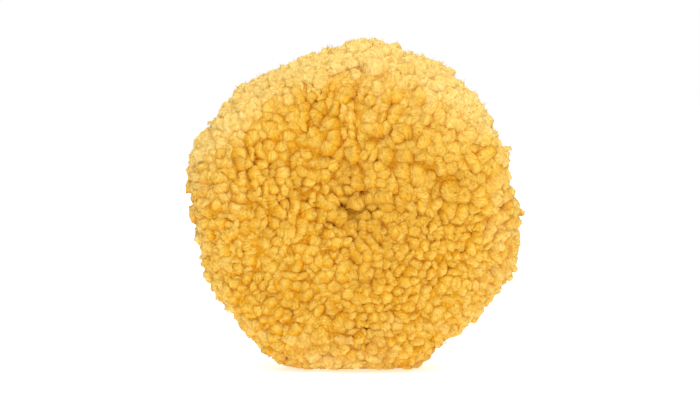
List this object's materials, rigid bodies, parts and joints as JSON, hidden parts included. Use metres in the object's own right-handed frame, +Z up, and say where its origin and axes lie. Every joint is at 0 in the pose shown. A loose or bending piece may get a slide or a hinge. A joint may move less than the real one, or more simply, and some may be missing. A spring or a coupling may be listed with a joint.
{
  "type": "polishing pad",
  "caption": "Thick double-sided tufted wool polishing pad with a riveted steel hub, for a rotary polisher.",
  "frame": {"origin": "centre of the hub bore, on the mid-plane between the two faces", "axes": "+Y along the hub axis from the front face to the rear face, +Z up as the pad stands on its rim"},
  "size_m": [0.23, 0.0568, 0.227],
  "materials": {
    "wool": "matte",
    "backing_cloth": "matte",
    "felt": "matte",
    "thread": "satin",
    "fibre_board": "matte",
    "zinc_steel": "satin",
    "nickel_steel": "polished"
  },
  "bodies": {
    "root": {"front_hub_tufts": "wool", "front_face_tufts": "wool", "front_rim_tufts": "wool", "rear_hub_tufts": "wool", "rear_face_tufts": "wool", "rear_rim_tufts": "wool", "front_backing_cloth": "backing_cloth", "rear_backing_cloth": "backing_cloth", "felt_core": "felt", "rim_needle_thread": "thread", "rim_bobbin_thread": "thread", "closing_seam_thread": "thread", "hub_spacer": "fibre_board", "front_hub_washer": "zinc_steel", "rear_hub_washer": "zinc_steel", "hub_eyelet": "nickel_steel", "hub_rivets": "nickel_steel"}
  },
  "joints": []
}
